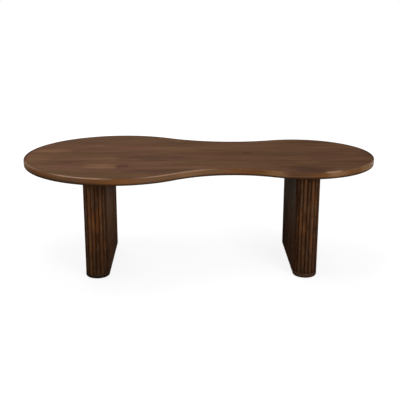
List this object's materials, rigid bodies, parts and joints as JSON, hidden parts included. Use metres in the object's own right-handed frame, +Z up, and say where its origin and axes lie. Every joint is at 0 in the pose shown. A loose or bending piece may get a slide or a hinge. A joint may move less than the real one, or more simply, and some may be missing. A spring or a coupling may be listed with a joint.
{
  "type": "coffee table",
  "caption": "Low coffee table with a peanut-shaped solid wood top on slab legs with round ends and vertical reeds, bolted together through steel plates.",
  "frame": {"origin": "on the floor, under the middle of the top's length, half-way between its front and rear edges", "axes": "+X along the top towards its smaller end, +Y from the front edge to the rear edge, +Z up"},
  "size_m": [1.2699, 0.6859, 0.406],
  "materials": {
    "top_wood": "solid hardwood in glued staves, walnut-brown stain under a satin lacquer",
    "leg_wood": "the same stain, darker in the grooves, under a satin lacquer",
    "core_plywood": "bare birch plywood, hidden",
    "core_wood": "bare softwood, hidden",
    "dowel_wood": "bare beech, hidden",
    "black_steel": "black powder coat, fine texture",
    "zinc_steel": "bright zinc plating",
    "insert_brass": "turned brass",
    "glide_felt": "dark brown pressed felt"
  },
  "bodies": {
    "root": {"top_panel": "top_wood", "left_reeds": "leg_wood", "right_reeds": "leg_wood", "left_plinth": "leg_wood", "right_plinth": "leg_wood", "left_inner_panel": "core_plywood", "left_outer_panel": "core_plywood", "right_inner_panel": "core_plywood", "right_outer_panel": "core_plywood", "left_top_rail": "core_wood", "left_middle_rail": "core_wood", "left_bottom_rail": "core_wood", "right_top_rail": "core_wood", "right_middle_rail": "core_wood", "right_bottom_rail": "core_wood", "left_front_post": "core_wood", "left_rear_post": "core_wood", "right_front_post": "core_wood", "right_rear_post": "core_wood", "rail_dowels": "dowel_wood", "left_mounting_plate": "black_steel", "right_mounting_plate": "black_steel", "plate_bolts": "zinc_steel", "plate_washers": "zinc_steel", "plate_screws": "zinc_steel", "plinth_screws": "zinc_steel", "top_inserts": "insert_brass", "floor_glides": "glide_felt"}
  },
  "joints": []
}
